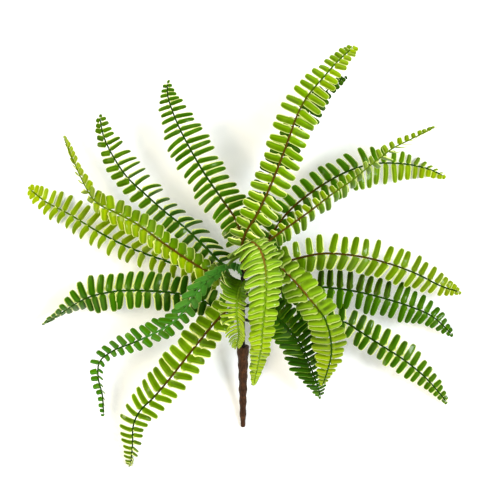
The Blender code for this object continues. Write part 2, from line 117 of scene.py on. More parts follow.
# Each frond, seen by someone who looks from the stem to the tip. Six numbers are those of the left leaflets
# at the base, middle and tip, then of the right ones. Angles are in degrees.
# slot: the material's name in the record. seat: the distance of the peg from the pick's mouth.
# pairs: how many leaflets each side has. leaf: the longest one's length, left and right.
# bare: the stalk's length. crowding: how far the pitch closes up towards the tip.
# taper: the first and the last leaflet's share of the longest, and how steeply they shorten.
# curl: how far a leaflet bends down towards its end. root: how wide its foot is, left and right.
# lean: how far the leaflets point forward. Past 90, they lie over the rib.
# wide: their width as a share of the mean pitch. hook: how far they bend forward towards their ends.
# twist: their turn about their own length.
# green, rib_colour: the plastics at the base and the tip, and the shares of the length between which one
# turns into the other. tint: one more plastic, and how much of it shows at left base, left tip, right base
# and right tip. side: the place across a leaflet where shade is painted, and how strongly.
# pale: the strength of the pale margins, which are partly painted highlight.
# shade: how bright the frond's greens are.
# rib: its points as (x, y, height, roll). Where the roll is above zero, the right side sinks.
FRONDS = {
    "frond_01": frond(
        slot="olive_leaf", seat=56, pairs=23, leaf=(14, 19), bare=30, taper=(0.78, 0.32, 2.6),
        lean=(8, 30, 40, -32, -22, 35), wide=(0.83, 0.79, 0.8, 0.86, 0.71, 0.66),
        hook=(-60, -55, -50, -10, -5, 0), twist=(35, 22.5, 10, 8, 8, 8),
        green=("olive", "yellow", 0.7, 1.0), rib_colour=("dark", "olive", 0.55, 0.9),
        tint=("yellow", 0, 0.1, 0.05, 0.25), side=(-0.7, 0.3), pale=0.8, shade=0.76,
        rib=[(-18, 62, 45, 0), (-43, 73, 40, 0), (-78, 85, 35, 0), (-113, 98, 29, 0), (-143, 113, 21, 0),
            (-173, 131, 10, 0), (-196, 143, 1.6, 0), (-213, 156, 0.8, 0)]),
    "frond_02": frond(
        slot="olive_leaf", seat=68, pairs=27, leaf=(14, 13), bare=28, taper=(0.78, 0.28, 1.5),
        root=(0.9, 0.8), lean=(-32, -32, 118, 30, 25, 20), wide=(1.18, 1.18, 0.11, 1.37, 1.37, 0.86),
        hook=(-10, -5, 0, 0, 0, 0), twist=(5, 5, 120, 5, 5, 5), green=("fern", "yellow", 0.25, 0.95),
        rib_colour=("brown", "olive", 0.3, 0.6), tint=("yellow", 0.55, 0.55, 0, 0.2), side=(-0.8, 0.5),
        pale=0.75, shade=0.78,
        rib=[(-18, 66, 66, 0), (-31, 72, 68, 0), (-53, 85, 68, 0), (-78, 102, 66, 0), (-103, 120, 61, 0),
            (-125, 132, 54, -10), (-143, 141, 46, -30), (-152, 151, 41, -45), (-163, 172, 36, -45),
            (-178, 207, 30, -45)]),
    "frond_03": frond(
        slot="mid_green_leaf", seat=84, pairs=23, leaf=(14, 20), bare=22, crowding=0.13,
        taper=(0.78, 0.28, 2.0), lean=(-10, 12, 30, -30, -6, 14),
        wide=(0.92, 0.92, 0.75, 0.77, 0.66, 0.64), hook=(0, 0, 0, -75, -62, -5),
        twist=(10, 10, 10, 40, 62, 8), green=("dark", "fern", 0.15, 0.6),
        rib_colour=("dark", "dark", 0.2, 0.5), tint=("dark", 0, 0, 0.9, -0.5), pale=0.75, shade=0.69,
        rib=[(-11, 78, 66, 0), (-23, 84, 64, 0), (-38, 99, 61, 8), (-58, 118, 57, 15), (-78, 134, 54, 25),
            (-97, 151, 51, 20), (-115, 168, 48, 10), (-129, 189, 45, 0), (-138, 208, 43, 0),
            (-142, 227, 42, 0)]),
    "frond_04": frond(
        slot="mid_green_leaf", seat=91, pairs=25, leaf=(20, 22), bare=20, crowding=0.13, root=(0.6, 0.6),
        lean=(0, 0, 4, -18, -6, 2), wide=(1.03, 0.81, 0.71, 1.03, 0.81, 0.71),
        hook=(-25, -20, -15, -18, -13, -8), green=("mid", "mid", 0.0, 1.0),
        rib_colour=("brown", "dark", 0.2, 0.4), pale=0.95, shade=0.64,
        rib=[(-1, 99, 66, 0), (-6, 123, 65, 0), (-21, 146, 62, 0), (-38, 171, 58, 0), (-53, 197, 54, 0),
            (-65, 221, 50, 0), (-74, 246, 46, 0), (-75, 261, 44, 0)]),
    "frond_05": frond(
        slot="bright_leaf", seat=95, pairs=27, leaf=(18, 20), bare=14, taper=(0.85, 0.3, 1.55),
        root=(0.7, 0.7), lean=(-8, -5, -2, -22, -14, 42), wide=(0.95, 0.92, 0.86, 0.95, 0.92, 0.86),
        hook=(8, 4, 0, 8, 4, 0), green=("bright", "olive", 0.7, 1.0),
        rib_colour=("brown", "fern", 0.55, 0.85), tint=("yellow", 0, 0.1, -0.7, 0.9), side=(-0.5, 0.6),
        pale=0.95, shade=0.74,
        rib=[(-1, 100, 76, 0), (4, 115, 84, 0), (13, 129, 89, 0), (26, 156, 93, 0), (37, 183, 95, 0),
            (45, 205, 94, 0), (53, 227, 92, 0), (63, 246, 87, 0), (78, 264, 79, -5), (93, 281, 69, -10),
            (109, 296, 58, -10)]),
    "frond_06": frond(
        slot="dark_leaf", seat=87, pairs=24, leaf=(14, 14), bare=24, crowding=0.13,
        lean=(0, 2, 5, 0, 5, 10), wide=(0.82, 0.82, 0.74, 0.82, 0.82, 0.74),
        green=("dark", "dark", 0.0, 1.0), rib_colour=("dark", "dark", 0.2, 0.6), side=(-0.8, 0.6),
        pale=0.3, shade=0.63,
        rib=[(1, 100, 60, 0), (7, 123, 59, 0), (18, 146, 58, 0), (31, 173, 56, 0), (44, 198, 54, 0),
            (56, 218, 52, 0), (69, 238, 49, 0), (85, 255, 44, 0), (101, 267, 38, 0)]),
    "frond_07": frond(
        slot="olive_leaf", seat=82, pairs=25, leaf=(9, 17), bare=26, root=(0.5, 0.6),
        lean=(-20, -2, 5, -20, -5, 122), wide=(0.66, 0.71, 0.75, 0.83, 0.79, 0.11),
        hook=(0, 0, 0, -15, -7.5, 0), twist=(8, 8, 8, 14, 14, 120), green=("fern", "olive", 0.4, 0.9),
        rib_colour=("brown", "olive", 0.3, 0.6), tint=("yellow", 0.6, 0.4, 0, 0.2), side=(-0.6, 0.7),
        pale=0.75, shade=0.74,
        rib=[(15, 95, 72, 20), (33, 110, 76, 30), (51, 123, 77, 34), (69, 136, 76, 38), (87, 150, 74, 46),
            (106, 163, 71, 54), (122, 176, 67, 54), (135, 186, 62, 48), (148, 196, 57, 42),
            (166, 205, 51, 38), (190, 217, 44, 38)]),
    "frond_08": frond(
        slot="mid_green_leaf", seat=77, pairs=24, leaf=(17, 21), bare=34, crowding=0.13, root=(0.5, 0.6),
        lean=(12, -10, 45, -32, -8, 10), wide=(1.05, 0.83, 0.43, 0.94, 0.79, 0.8),
        hook=(-25, -17.5, -10, 0, 0, 0), twist=(8, 10, 62, 8, 10, 12), green=("mid", "olive", 0.5, 1.0),
        rib_colour=("brown", "dark", 0.3, 0.6), tint=("yellow", -0.4, 0.2, -0.5, 0.8), pale=0.75,
        shade=0.78,
        rib=[(15, 93, 50, 0), (29, 112, 48, 0), (42, 130, 47, 0), (59, 146, 47, 0), (82, 162, 45, 0),
            (105, 174, 40, 0), (129, 181, 31, 0), (152, 182, 19, 0), (171, 180, 7, 0), (187, 176, 1.3, 0),
            (200, 170, 0.8, 0)]),
    "frond_09": frond(
        slot="bright_leaf", seat=72, pairs=22, leaf=(19, 18), bare=24, root=(0.45, 1.0),
        lean=(8, 2, 22, -4, -20, 0), wide=(0.8, 0.84, 0.86, 1.21, 0.9, 0.67), hook=(0, 0, 0, -14, -7, 0),
        twist=(4, 4, 4, 6, 6, 6), green=("bright", "yellow", 0.7, 0.95),
        rib_colour=("brown", "dark", 0.55, 0.8), tint=("yellow", -0.4, 0.6, -0.3, 0.6), side=(-0.6, 0.5),
        pale=0.95, shade=0.5,
        rib=[(19, 78, 64, 0), (37, 82, 66, 0), (57, 88, 67, 0), (79, 92, 66, 0), (102, 91, 63, 0),
            (126, 87, 58, 0), (151, 80, 50, 0), (174, 71, 42, 0), (196, 60, 33, 0), (215, 54, 26, 0)]),
    "frond_10": frond(
        slot="dark_leaf", seat=43, pairs=23, leaf=(19, 19), bare=30, crowding=0.13, root=(0.5, 0.6),
        lean=(-12, 0, 14, 0, -5, -4), wide=(0.78, 0.78, 0.74, 0.84, 0.82, 0.74),
        green=("mid", "mid", 0.3, 1.0), rib_colour=("dark", "dark", 0.0, 1.0),
        tint=("stem", 4.4, -2.2, 0.1, -0.2), pale=0.65, shade=0.6,
        rib=[(19, 43, 46, 0), (40, 54, 45, 0), (62, 59, 44, 0), (87, 58, 43, 0), (114, 54, 41, 0),
            (142, 47, 38, 0), (167, 39, 33, 0), (189, 29, 25, 0), (208, 12, 14, 0)]),
    "frond_11": frond(
        slot="mid_green_leaf", seat=29, pairs=23, leaf=(17, 14), bare=40, crowding=0.13,
        lean=(-15, -8, 4, 5, 4, 5), wide=(0.9, 0.98, 0.81, 0.9, 0.94, 0.77), hook=(-8, -4, 0, 0, 0, 0),
        green=("mid", "fern", 0.5, 1.0), rib_colour=("dark", "dark", 0.0, 1.0), side=(-0.6, 0.7),
        pale=0.9, shade=0.6,
        rib=[(19, 23, 38, 0), (47, 22, 35, 0), (75, 25, 34, 0), (100, 24, 34, 0), (117, 14, 34, 0),
            (137, 1, 32, 0), (159, -13, 29, 0), (179, -29, 22, 0), (194, -45, 14, 0), (203, -56, 8, 0)]),
    "frond_12": frond(
        slot="dark_leaf", seat=59, pairs=22, leaf=(20, 22), bare=26, crowding=0.13, root=(0.8, 0.8),
        lean=(-4, -10, -12, -40, -34, -26), wide=(1.35, 1.0, 0.62, 1.7, 1.2, 0.75),
        hook=(10, 5, 0, 10, 5, 0), twist=(12, 12, 12, 12, 12, 12), green=("dark", "mid", 0.5, 1.0),
        rib_colour=("dark", "dark", 0.0, 1.0), side=(-0.6, 1.0), pale=0.55, shade=0.77,
        rib=[(13, 45, 60, 0), (27, 34, 63, 0), (40, 23, 63, 0), (52, 9, 60, 0), (61, -5, 54, 0),
            (68, -23, 45, 0), (74, -39, 36, 0), (77, -50, 28, 0)]),
    "frond_13": frond(
        slot="light_leaf", seat=79, pairs=26, leaf=(16, 20), bare=34, taper=(0.78, 0.14, 2.3), curl=34,
        root=(0.9, 0.9), lean=(18, 2, -14, -42, -22, -6), wide=(1.6, 1.2, 0.56, 1.25, 1.15, 0.72),
        hook=(12, 6, 0, 12, 6, 0), twist=(14, 14, 14, 14, 14, 14), green=("light", "yellow", 0.35, 0.85),
        rib_colour=("rust", "mid", 0.42, 0.6), tint=("yellow", -0.9, 0.5, -0.9, 0.5), side=(-0.6, 1.0),
        pale=0.5, shade=0.6,
        rib=[(9, 87, 80, 0), (25, 87, 98, 0), (41, 75, 108, 0), (56, 59, 113, 0), (71, 41, 111, 0),
            (81, 27, 104, 0), (86, 9, 92, 0), (87, -8, 78, 0), (83, -25, 63, 0), (79, -38, 52, 0)]),
    "frond_14": frond(
        slot="light_leaf", seat=89, pairs=38, leaf=(20, 24), bare=16, taper=(0.98, 0.08, 1.12), curl=34,
        root=(1.0, 1.0), lean=(-35, -12, 22, -10, 20, 15), wide=(1.3, 1.3, 1.2, 1.3, 1.3, 1.2),
        hook=(0, 0, 0, 35, 10, 0), twist=(16, 16, 16, 16, 16, 16), green=("light", "yellow", 0.35, 0.8),
        rib_colour=("rust", "light", 0.3, 0.5), tint=("lime", -0.8, 0.7, -0.8, 0.7), side=(-0.6, 1.0),
        pale=0.45, shade=0.75,
        rib=[(0, 92, 82, 0), (3, 101, 96, 0), (10, 103, 109, 0), (18, 93, 123, 0), (22, 77, 136, 0),
            (22, 58, 146, 0), (21, 38, 149, 0), (19, 19, 143, 0), (18, 1, 131, 0), (15, -15, 115, 0),
            (11, -36, 92, 0)]),
    "frond_15": frond(
        slot="lime_leaf", seat=64, pairs=28, leaf=(15, 21), bare=26, taper=(1.0, 0.2, 1.4), curl=-60,
        root=(0.9, 0.9), lean=(0, 45, 50, -10, 5, 25), wide=(1.2, 0.85, 0.7, 1.2, 0.85, 0.7),
        hook=(0, 5, 0, -15, -10, 0), twist=(-60, -10, 30, -60, -10, 25), green=("fern", "lime", 0.3, 0.6),
        rib_colour=("olive", "light", 0.2, 0.5), tint=("dark", 0.5, -0.6, 0.9, -0.9), side=(-0.95, 1.0),
        pale=0.7, shade=0.81,
        rib=[(0, 63, 74, 0), (-1, 63, 94, 0), (-3, 58, 114, 0), (-5, 49, 130, 0), (-6, 36, 138, 0),
            (-5, 24, 134, 0), (-4, 13, 122, 0), (-6, 1, 106, 0)]),
    "frond_16": frond(
        slot="mid_green_leaf", seat=74, pairs=28, leaf=(12, 15), bare=8, crowding=0.1,
        taper=(0.9, 0.22, 1.3), curl=20, root=(0.7, 0.7), lean=(100, -30, 86, 100, 16, 4),
        wide=(0.77, 0.86, 0.11, 0.77, 0.86, 0.6), twist=(6, 6, 120, 6, 6, 6),
        green=("blue_green", "mid", 0.24, 0.36), rib_colour=("blue_green", "dark", 0.5, 0.62),
        side=(-0.95, 0.15), pale=0.12, shade=0.86,
        rib=[(-7, 79, 78, -45), (-21, 75, 86, -35), (-35, 66, 89, -25), (-47, 53, 88, -25),
            (-57, 37, 83, -30), (-69, 24, 76, -25), (-88, 13, 67, -12), (-108, 4, 56, -12),
            (-128, -4, 45, -30), (-142, -15, 36, -35), (-144, -31, 29, -30), (-140, -49, 22, -30),
            (-139, -68, 16, -30)]),
    "frond_17": frond(
        slot="mid_green_leaf", seat=35, pairs=23, leaf=(18, 19), bare=22, crowding=0.13,
        lean=(-24, 2, 30, 6, -15, -5), wide=(1.05, 1.05, 0.94, 1.07, 1.07, 0.97),
        hook=(0, 0, 0, -18, -9, 0), green=("dark", "mid", 0.2, 0.5),
        rib_colour=("dark", "dark", 0.0, 1.0), tint=("dark", 0.6, -0.4, 0.6, -0.2), side=(-0.75, 0.8),
        pale=0.85, shade=0.75,
        rib=[(-15, 34, 46, 0), (-31, 41, 48, 0), (-48, 49, 50, 0), (-68, 53, 50, 0), (-93, 55, 49, 0),
            (-121, 55, 46, 0), (-145, 51, 41, -10), (-161, 45, 35, -45), (-179, 34, 28, -70),
            (-197, 22, 21, -70)]),
    "frond_18": frond(
        slot="bright_leaf", seat=49, pairs=24, leaf=(19, 20), bare=20, crowding=0.22,
        taper=(0.78, 0.22, 1.45), root=(0.6, 0.85), lean=(-32, -32, 74, 16, -14, -4),
        wide=(1.34, 0.81, 0.34, 1.41, 0.82, 0.42), hook=(8, 12, -40, -8, -16, -30),
        twist=(5, 20, 78, 8, 16, 35), green=("bright", "olive", 0.6, 1.0),
        rib_colour=("brown", "dark", 0.45, 0.7), tint=("stem", -0.95, 0.75, -0.95, 0.7),
        side=(-0.15, 0.7), pale=1.0, shade=0.65,
        rib=[(-11, 39, 62, 0), (-23, 29, 68, 0), (-37, 13, 70, 0), (-53, -7, 68, 0), (-71, -30, 61, 0),
            (-88, -50, 50, 0), (-102, -64, 39, -10), (-109, -79, 28, -25), (-110, -97, 16, -35),
            (-112, -119, 4, -35)]),
}


def paint(red, green, blue):
    """Linear colour of an 8-bit sRGB one."""
    shares = (c / 255 for c in (red, green, blue))
    return tuple(c / 12.92 if c <= 0.04045 else ((c + 0.055) / 1.055) ** 2.4 for c in shares)


def colour_property(name, description, default):
    return FloatVectorProperty(
        name=name, description=description, default=paint(*default), subtype="COLOR", min=0, max=1)


def length_property(name, description, millimetres):
    return FloatProperty(
        name=name, description=description, default=millimetres * MM, subtype="DISTANCE", unit="LENGTH",
        min=0, precision=5)


class PlasticSettings(bpy.types.PropertyGroup):
    """The colours of the moulded plastics."""

    lime: colour_property("Lime", "The palest frond", (184, 212, 40))
    yellow: colour_property("Yellow green", "Fresh tips of the fronds", (180, 202, 4))
    light: colour_property("Light green", "The fronds that arch over the crown", (140, 188, 28))
    bright: colour_property("Bright green", "Upper fronds", (108, 156, 0))
    olive: colour_property("Olive green", "Outer fronds", (114, 148, 0))
    fern: colour_property("Fern green", "Shaded parts of the olive fronds", (80, 128, 0))
    mid: colour_property("Mid green", "Lower fronds", (50, 110, 0))
    blue_green: colour_property("Blue green", "The frond that lies folded by the crown", (66, 136, 46))
    dark: colour_property("Dark green", "The lowest fronds", (18, 78, 4))
    warm: colour_property("Warm green", "Patches on the leaflets", (138, 166, 0))
    # The margin colour is partly the plastic's paler edge and partly painted highlight
    margin: colour_property("Margin", "The thin margins and lobes of the leaflets", (238, 248, 146))
    sheen: colour_property("Sheen", "Tint of the leaflets' reflections", (200, 255, 60))
    brown: colour_property("Rib brown", "Ribs near the crown", (88, 58, 12))
    rust: colour_property("Rib rust", "Ribs of the fronds that arch over the crown", (138, 96, 30))
    pick: colour_property("Pick brown", "The pick", (63, 36, 16))
    stem: colour_property("Stem brown", "The centre stem", (24, 16, 10))
    gloss: FloatProperty(
        name="Leaf roughness", description="Roughness of the leaflets", default=0.32, min=0, max=1,
        subtype="FACTOR")


class LeafletSettings(bpy.types.PropertyGroup):
    """Sizes that every leaflet and rib shares."""

    thickness: length_property("Thickness", "Thickness of a leaflet", 0.45)
    rib_width: length_property("Rib width", "Width of a rib at its base", 2.5)
    rib_tip_width: length_property("Rib tip width", "Width of a rib at its tip", 1.5)
    rib_thickness: length_property("Rib thickness", "Thickness of a rib at its base", 1.7)
    rise: FloatProperty(
        name="Rise", description="How far a leaflet's root points up from the rib", default=math.radians(5),
        subtype="ANGLE", unit="ROTATION")
    fold: FloatProperty(
        name="Fold", description="How far the strip along a leaflet's tipward edge is folded down",
        default=math.radians(30), subtype="ANGLE", unit="ROTATION")
    ear: FloatProperty(
        name="Ear", description="How far the lobe by a leaflet's root stands out", default=0.25, min=0,
        max=1, subtype="FACTOR")
    cells_along: IntProperty(name="Cells along", description="Faces along a leaflet", default=8, min=4)
    cells_across: IntProperty(name="Cells across", description="Faces across a leaflet", default=4, min=2)


class PickSettings(bpy.types.PropertyGroup):
    """Sizes of the pick."""

    radius: length_property("Radius", "Radius of the body below the mouth", 5.5)
    taper: length_property("Taper", "How much thinner the pick is at its tip", 2.9)
    flare: length_property("Flare", "How far the mouth opens", 1.1)
    swelling: length_property("Swelling", "Height of the bamboo-like joints", 0.75)


class StemSettings(bpy.types.PropertyGroup):
    """Sizes of the centre stem."""

    radius: length_property("Radius", "Radius of the stem", 2.3)
    peg_radius: length_property("Peg radius", "Radius of a peg", 1.3)
    collar: length_property("Collar", "How far a collar stands out", 0.35)


class StageSettings(bpy.types.PropertyGroup):
    """The table and the light."""

    table: colour_property("Table", "Colour of the table", (250, 250, 250))
    left_colour: colour_property("Left tint", "Colour of the left light", (255, 241, 210))
    right_colour: colour_property("Right tint", "Colour of the right light", (245, 250, 255))
    left_strength: FloatProperty(
        name="Left light", description="Strength of the left light", default=1.7, min=0)
    right_strength: FloatProperty(
        name="Right light", description="Strength of the right light", default=2.3, min=0)
    softness: FloatProperty(
        name="Softness", description="Angle that each light spans", default=math.radians(22), min=0,
        subtype="ANGLE", unit="ROTATION")
    fill: FloatProperty(
        name="Fill", description="Strength of the light from all round", default=0.82, min=0)
    glow: FloatProperty(
        name="Glow", description="How softly the table glows by itself", default=0.12, min=0)


class SpraySettings(bpy.types.PropertyGroup):
    """All settings of the spray."""

    plastics: PointerProperty(type=PlasticSettings)
    leaflets: PointerProperty(type=LeafletSettings)
    pick: PointerProperty(type=PickSettings)
    stem: PointerProperty(type=StemSettings)
    stage: PointerProperty(type=StageSettings)


def operation(name, swapped=False):
    """A method of a wire that adds a node of that operation, with the wire first, or last if swapped."""
    def method(self, *others):
        values = (*others, self) if swapped else (self, *others)
        return self.graph.maths(name, *values)
    return method


class Wire:
    """An output socket of a node. Arithmetic on it adds Math nodes, or Vector Math nodes for vectors."""

    def __init__(self, graph, socket):
        self.graph = graph
        self.socket = socket

    __add__ = operation("ADD")
    __radd__ = operation("ADD", swapped=True)
    __sub__ = operation("SUBTRACT")
    __rsub__ = operation("SUBTRACT", swapped=True)
    __mul__ = operation("MULTIPLY")
    __rmul__ = operation("MULTIPLY", swapped=True)
    __truediv__ = operation("DIVIDE")
    __pow__ = operation("POWER")
    __abs__ = operation("ABSOLUTE")
    sin = operation("SINE")
    cos = operation("COSINE")
    root = operation("SQRT")
    floor = operation("FLOOR")
    least = operation("MINIMUM")
    most = operation("MAXIMUM")
    unit = operation("NORMALIZE")
    dot = operation("DOT_PRODUCT")
    cross = operation("CROSS_PRODUCT")

    def __neg__(self):
        return self * -1.0

    def parts(self):
        node = self.graph.node("ShaderNodeSeparateXYZ", {}, {"Vector": self})
        return node["X"], node["Y"], node["Z"]

    def smooth(self, low, high):
        """0 below low, 1 above high, and a smooth step between them."""
        return self.graph.node(
            "ShaderNodeMapRange", {"interpolation_type": "SMOOTHSTEP"},
            {"Value": self, "From Min": low, "From Max": high})["Result"]

    def between(self, first, second):
        """From first, where this wire is 0, to second, where it is 1."""
        return first + (second - first) * self


class Outputs:
    """The outputs of a node, by name."""

    def __init__(self, graph, node):
        self.graph = graph
        self.node = node

    def __getitem__(self, name):
        return Wire(self.graph, named_socket(self.node.outputs, name))


def named_socket(sockets, name):
    """The socket of that name that is in use. Some nodes have one for each kind of value."""
    if isinstance(name, int):
        return sockets[name]
    return next(s for s in sockets if s.name == name and s.enabled)


class Graph:
    """Adds nodes to a material's or a geometry's tree."""

    def __init__(self, tree):
        self.tree = tree
        tree.nodes.clear()

    def node(self, kind, settings=None, values=None):
        """A node of that type. Its settings are set first, then the values or links of its sockets."""
        node = self.tree.nodes.new(kind)
        for name, value in (settings or {}).items():
            setattr(node, name, value)
        for name, value in (values or {}).items():
            socket = named_socket(node.inputs, name)
            for one in value if isinstance(value, list) else [value]:
                if isinstance(one, Wire):
                    self.tree.links.new(one.socket, socket)
                else:
                    socket.default_value = one
        return Outputs(self, node)

    def maths(self, operation, *values):
        """A Math node, or a Vector Math node where a value is a vector."""
        vectors = [v for v in values if is_vector(v)]
        if not vectors:
            return self.node("ShaderNodeMath", {"operation": operation}, dict(enumerate(values)))["Value"]
        if operation == "MULTIPLY" and len(vectors) == 1:
            number = next(v for v in values if not is_vector(v))
            scaled = {"Vector": vectors[0], "Scale": number}
            return self.node("ShaderNodeVectorMath", {"operation": "SCALE"}, scaled)["Vector"]
        output = "Value" if operation == "DOT_PRODUCT" else "Vector"
        return self.node("ShaderNodeVectorMath", {"operation": operation}, dict(enumerate(values)))[output]

    def vector(self, x, y, z):
        return self.node("ShaderNodeCombineXYZ", {}, {"X": x, "Y": y, "Z": z})["Vector"]

    def mix(self, share, first, second):
        """A colour between two colours."""
        return self.node(
            "ShaderNodeMix", {"data_type": "RGBA"}, {"Factor": share, "A": first, "B": second})["Result"]


def is_vector(value):
    return isinstance(value, tuple) or isinstance(value, Wire) and value.socket.type == "VECTOR"


def smooth_line(points):
    """Rows of a Catmull-Rom curve through the rows of points."""
    p = np.array(points, float)
    p = np.vstack([2 * p[0] - p[1], p, 2 * p[-1] - p[-2]])
    rows = []
    for a, b, c, d in zip(p, p[1:], p[2:], p[3:]):
        for t in np.linspace(0, 1, STEPS_PER_SPAN, endpoint=False):
            rows.append(
                b + (c - a) * t / 2 + (2 * a - 5 * b + 4 * c - d) * t**2 / 2
                + (3 * b - 3 * c + d - a) * t**3 / 2
            )
    return np.array(rows + [p[-2]])


def in_scene(rows):
    """Points of the tables, in millimetres from under the pick's mouth, in the scene's metres."""
    return (np.asarray(rows, float) + (*MOUTH_PLAN, 0.0)) * MM


def rib_line(spec):
    """Points along a rib in metres, and the upward direction of the blade at each."""
    seat = MOUTH + AXIS * spec["seat"]
    rows = smooth_line([(*seat, spec["rib"][0][3]), *spec["rib"]])
    at, roll = rows[:, :3], np.radians(rows[:, 3])[:, None]
    along = np.concatenate([[0], np.cumsum(np.linalg.norm(np.diff(at, axis=0), axis=1))])
    forward = np.gradient(at, along, axis=0)
    forward /= np.linalg.norm(forward, axis=1)[:, None]

    def across(direction, i):
        square = direction - np.dot(direction, forward[i]) * forward[i]
        return square / np.linalg.norm(square)

    middle = int(np.searchsorted(along, along[-1] * LEVEL_AT))
    up = np.zeros_like(at)
    up[middle] = across(np.array([0.0, 0.0, 1.0]), middle)
    for i in range(middle + 1, len(at)):
        up[i] = across(up[i - 1], i)
    for i in range(middle - 1, -1, -1):
        up[i] = across(up[i + 1], i)
    right = np.cross(forward, up)
    return in_scene(at), up * np.cos(roll) + right * np.sin(roll)


def new_object(name, mesh):
    obj = bpy.data.objects.new(name, mesh)
    bpy.context.scene.collection.objects.link(obj)
    return obj


# What differs along a frond and from side to side, and the places where it is given
VARIED = ("lean", "wide", "hook", "twist")
PLACES = [f"{hand} at {spot}" for hand in ("left", "right") for spot in ("base", "middle", "tip")]

# Where a rib starts, from the stem's middle
RIB_START = 0.003

# The inputs of the frond's tree, by type. The rib line comes first, as what a modifier works on
FROND_INPUTS = {
    "NodeSocketGeometry": ["Rib line"],
    "NodeSocketInt": ["Pairs", "Cells along", "Cells across", "Seed"],
    "NodeSocketMaterial": ["Material"],
    "NodeSocketFloat": [
        "Bare stalk", "Crowding", "Left leaflet", "Right leaflet", "Thickness", "Rise", "Curl",
        "First leaflet", "Tip leaflet", "Shortening", "Left foot", "Right foot", "Fold", "Ear",
        "Rib width", "Rib tip width", "Rib thickness", "Rib start",
        *(f"{label} {place}" for label in VARIED for place in PLACES)],
}

# How the leaflets' length and pitch run along a frond
LEAF_GROWTH = 0.80
LEAF_ROOT_AT = 0.28
CROWDING_POWER = 5
WIDTH_FROM_PITCH = 0.3

# Spread of the leaflets' own differences
LENGTH_SPREAD = 0.09
LEAN_SPREAD = math.radians(6)
TWIST_SPREAD = math.radians(13)
CURL_SPREAD = math.radians(16)
PLACE_SPREAD = 0.10
STAGGER = 0.22

# The end leaflet points almost forward
END_LEAN = math.radians(76)
END_LENGTH = 0.16
END_WIDTH = 0.8

# A leaflet's outline, in shares of its length and half width. The lobe by its root rises and fades over the
# spans given, its edges are thinner than its middle, and its root lies inside the rib
ROOT_RUN = 0.15
TIP_FROM = 0.68
TIP_SHARE = 0.3
TAPER = 0.12
CREST = 0.5
EAR_RISE = (0.0, 0.1)
EAR_FADE = (0.12, 0.34)
EDGE_THINNING = 0.4
ROOT_INSET = 0.85

# A rib has a thicker sleeve where it leaves its peg, and narrows at its very end
SLEEVE_SPAN = (0.0052, 0.0065)
SLEEVE_SHARE = 0.35
RIB_END_SPAN = (0.985, 1.0)
RIB_END_NARROWING = 0.7
RIB_SIDES = 8
RIB_RINGS = 60

# Nothing lies lower than this above the table, and edges sharper than this aren't smoothed
TABLE_CLEARANCE = 0.0001
SHARP_EDGE = math.radians(62)


